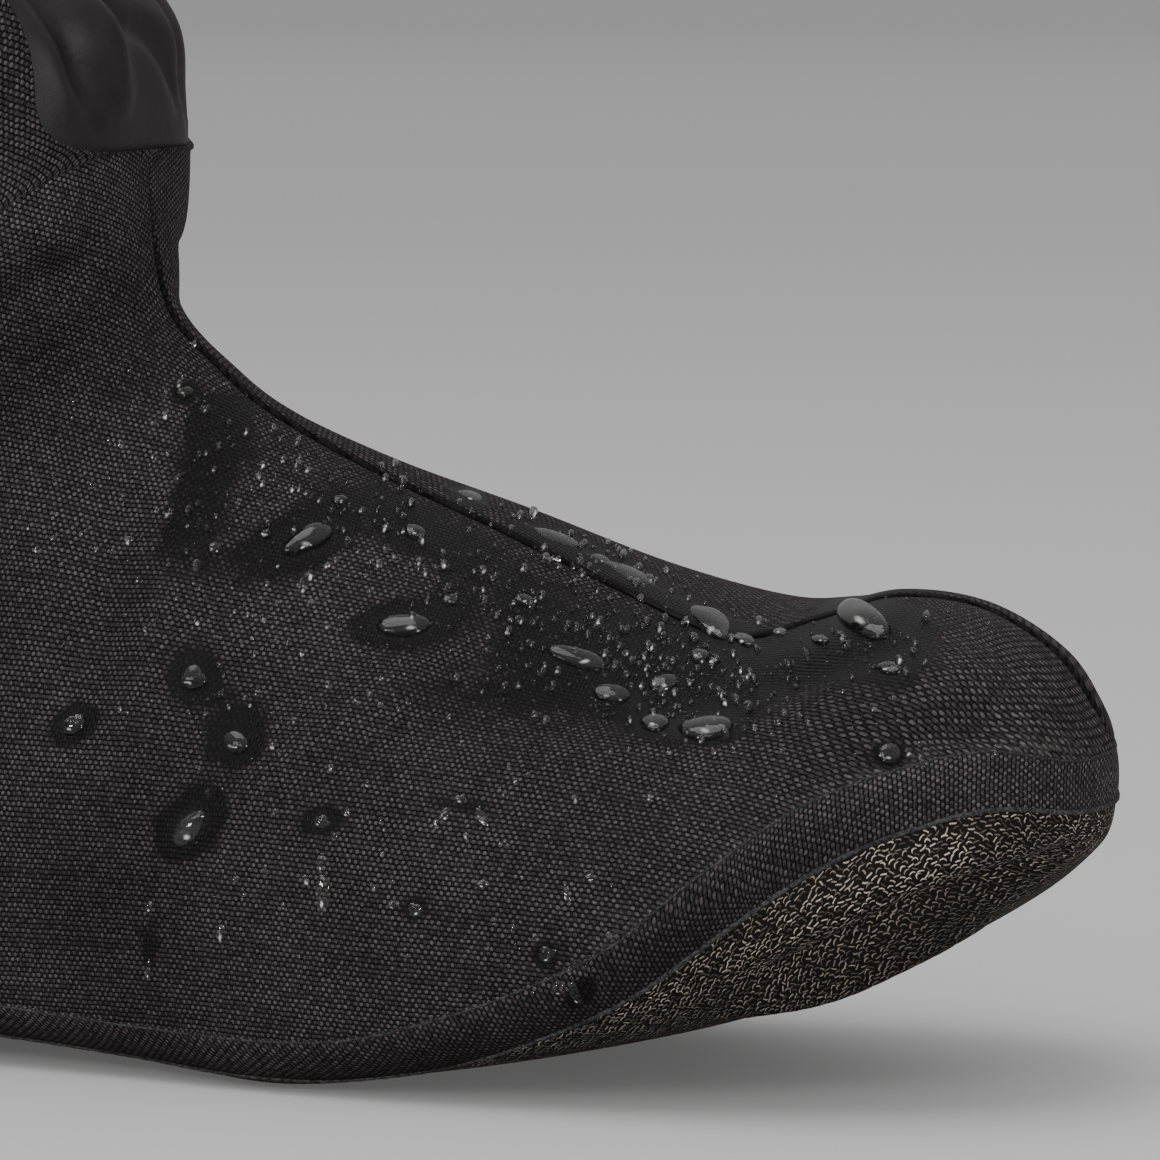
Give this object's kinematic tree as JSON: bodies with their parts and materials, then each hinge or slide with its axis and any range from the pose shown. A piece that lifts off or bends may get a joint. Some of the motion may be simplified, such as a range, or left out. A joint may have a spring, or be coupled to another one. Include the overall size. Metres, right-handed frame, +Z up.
{
  "type": "cycling overshoe",
  "caption": "Loose woven rain overshoe for cycling, right foot, with a knitted sole, a raised seam over the foot and a smooth cloth gusset at the front of the ankle.",
  "frame": {"origin": "on the floor, under the middle of the overshoe's box", "axes": "+X from the heel to the toe, +Z up, -Y to the outer side of the foot"},
  "size_m": [0.3018, 0.1096, 0.238],
  "materials": {
    "woven_cloth": "coarse plain weave, coated, wet with rain",
    "smooth_cloth": "fine smooth cloth, slightly shiny",
    "band_cloth": "ribbed woven strip",
    "knit": "dark brown knit with pale loops"
  },
  "bodies": {
    "root": {"upper": "woven_cloth", "gusset": "smooth_cloth", "edge_band": "band_cloth", "sole": "knit", "collar_hem": "woven_cloth"}
  },
  "joints": []
}
